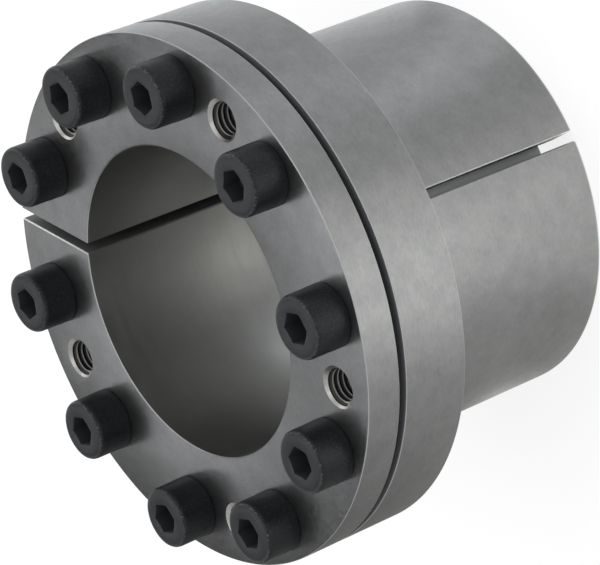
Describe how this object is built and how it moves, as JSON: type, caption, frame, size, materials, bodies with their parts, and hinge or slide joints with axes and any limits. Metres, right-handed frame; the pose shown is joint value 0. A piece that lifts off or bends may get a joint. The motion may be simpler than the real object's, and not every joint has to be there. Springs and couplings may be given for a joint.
{
  "type": "shaft locking assembly",
  "caption": "Keyless cone clamping bush: slit inner ring with a front flange and socket cap screws, drawn into a flanged, slotted outer sleeve to lock a hub on a shaft.",
  "frame": {"origin": "on the shaft axis, in the plane of the sleeve's free end, on which it stands", "axes": "+Z along the shaft axis towards the screw heads; +X through a jacking hole, away from the inner ring's slit"},
  "size_m": [0.111, 0.111, 0.0816],
  "materials": {
    "turned_steel": "fine-turned bright steel, lightly oiled, with thin bright deburred edges",
    "black_screw": "black oxide heat-treated steel, satin, dry"
  },
  "bodies": {
    "outer_ring": {"outer_ring": "turned_steel"},
    "inner_ring": {"inner_ring": "turned_steel"},
    "clamp_screw_01": {"clamp_screw_01": "black_screw"},
    "clamp_screw_02": {"clamp_screw_02": "black_screw"},
    "clamp_screw_03": {"clamp_screw_03": "black_screw"},
    "clamp_screw_04": {"clamp_screw_04": "black_screw"},
    "clamp_screw_05": {"clamp_screw_05": "black_screw"},
    "clamp_screw_06": {"clamp_screw_06": "black_screw"},
    "clamp_screw_07": {"clamp_screw_07": "black_screw"},
    "clamp_screw_08": {"clamp_screw_08": "black_screw"},
    "clamp_screw_09": {"clamp_screw_09": "black_screw"},
    "clamp_screw_10": {"clamp_screw_10": "black_screw"}
  },
  "joints": [
    {"name": "draw_in", "type": "slide", "parent": "outer_ring", "child": "inner_ring", "axis": [0, 0, -1], "range_m": [-0.0125, 0.00125]},
    {"name": "clamp_screw_01_turn", "type": "hinge", "parent": "inner_ring", "child": "clamp_screw_01", "pos_m": [0.04442, 0.01443, 0.0736], "axis": [0, 0, -1], "range_deg": [-3600, 360]},
    {"name": "clamp_screw_02_turn", "type": "hinge", "parent": "inner_ring", "child": "clamp_screw_02", "pos_m": [0.02745, 0.03778, 0.0736], "axis": [0, 0, -1], "range_deg": [-3600, 360]},
    {"name": "clamp_screw_03_turn", "type": "hinge", "parent": "inner_ring", "child": "clamp_screw_03", "pos_m": [0, 0.04671, 0.0736], "axis": [0, 0, -1], "range_deg": [-3600, 360]},
    {"name": "clamp_screw_04_turn", "type": "hinge", "parent": "inner_ring", "child": "clamp_screw_04", "pos_m": [-0.02745, 0.03778, 0.0736], "axis": [0, 0, -1], "range_deg": [-3600, 360]},
    {"name": "clamp_screw_05_turn", "type": "hinge", "parent": "inner_ring", "child": "clamp_screw_05", "pos_m": [-0.04442, 0.01443, 0.0736], "axis": [0, 0, -1], "range_deg": [-3600, 360]},
    {"name": "clamp_screw_06_turn", "type": "hinge", "parent": "inner_ring", "child": "clamp_screw_06", "pos_m": [-0.04442, -0.01443, 0.0736], "axis": [0, 0, -1], "range_deg": [-3600, 360]},
    {"name": "clamp_screw_07_turn", "type": "hinge", "parent": "inner_ring", "child": "clamp_screw_07", "pos_m": [-0.02745, -0.03778, 0.0736], "axis": [0, 0, -1], "range_deg": [-3600, 360]},
    {"name": "clamp_screw_08_turn", "type": "hinge", "parent": "inner_ring", "child": "clamp_screw_08", "pos_m": [0, -0.04671, 0.0736], "axis": [0, 0, -1], "range_deg": [-3600, 360]},
    {"name": "clamp_screw_09_turn", "type": "hinge", "parent": "inner_ring", "child": "clamp_screw_09", "pos_m": [0.02745, -0.03778, 0.0736], "axis": [0, 0, -1], "range_deg": [-3600, 360]},
    {"name": "clamp_screw_10_turn", "type": "hinge", "parent": "inner_ring", "child": "clamp_screw_10", "pos_m": [0.04442, -0.01443, 0.0736], "axis": [0, 0, -1], "range_deg": [-3600, 360]}
  ],
  "couplings": [
    {"joint": "clamp_screw_01_turn", "follows": "draw_in", "rad_per_m": 5026.5},
    {"joint": "clamp_screw_02_turn", "follows": "draw_in", "rad_per_m": 5026.5},
    {"joint": "clamp_screw_03_turn", "follows": "draw_in", "rad_per_m": 5026.5},
    {"joint": "clamp_screw_04_turn", "follows": "draw_in", "rad_per_m": 5026.5},
    {"joint": "clamp_screw_05_turn", "follows": "draw_in", "rad_per_m": 5026.5},
    {"joint": "clamp_screw_06_turn", "follows": "draw_in", "rad_per_m": 5026.5},
    {"joint": "clamp_screw_07_turn", "follows": "draw_in", "rad_per_m": 5026.5},
    {"joint": "clamp_screw_08_turn", "follows": "draw_in", "rad_per_m": 5026.5},
    {"joint": "clamp_screw_09_turn", "follows": "draw_in", "rad_per_m": 5026.5},
    {"joint": "clamp_screw_10_turn", "follows": "draw_in", "rad_per_m": 5026.5}
  ]
}
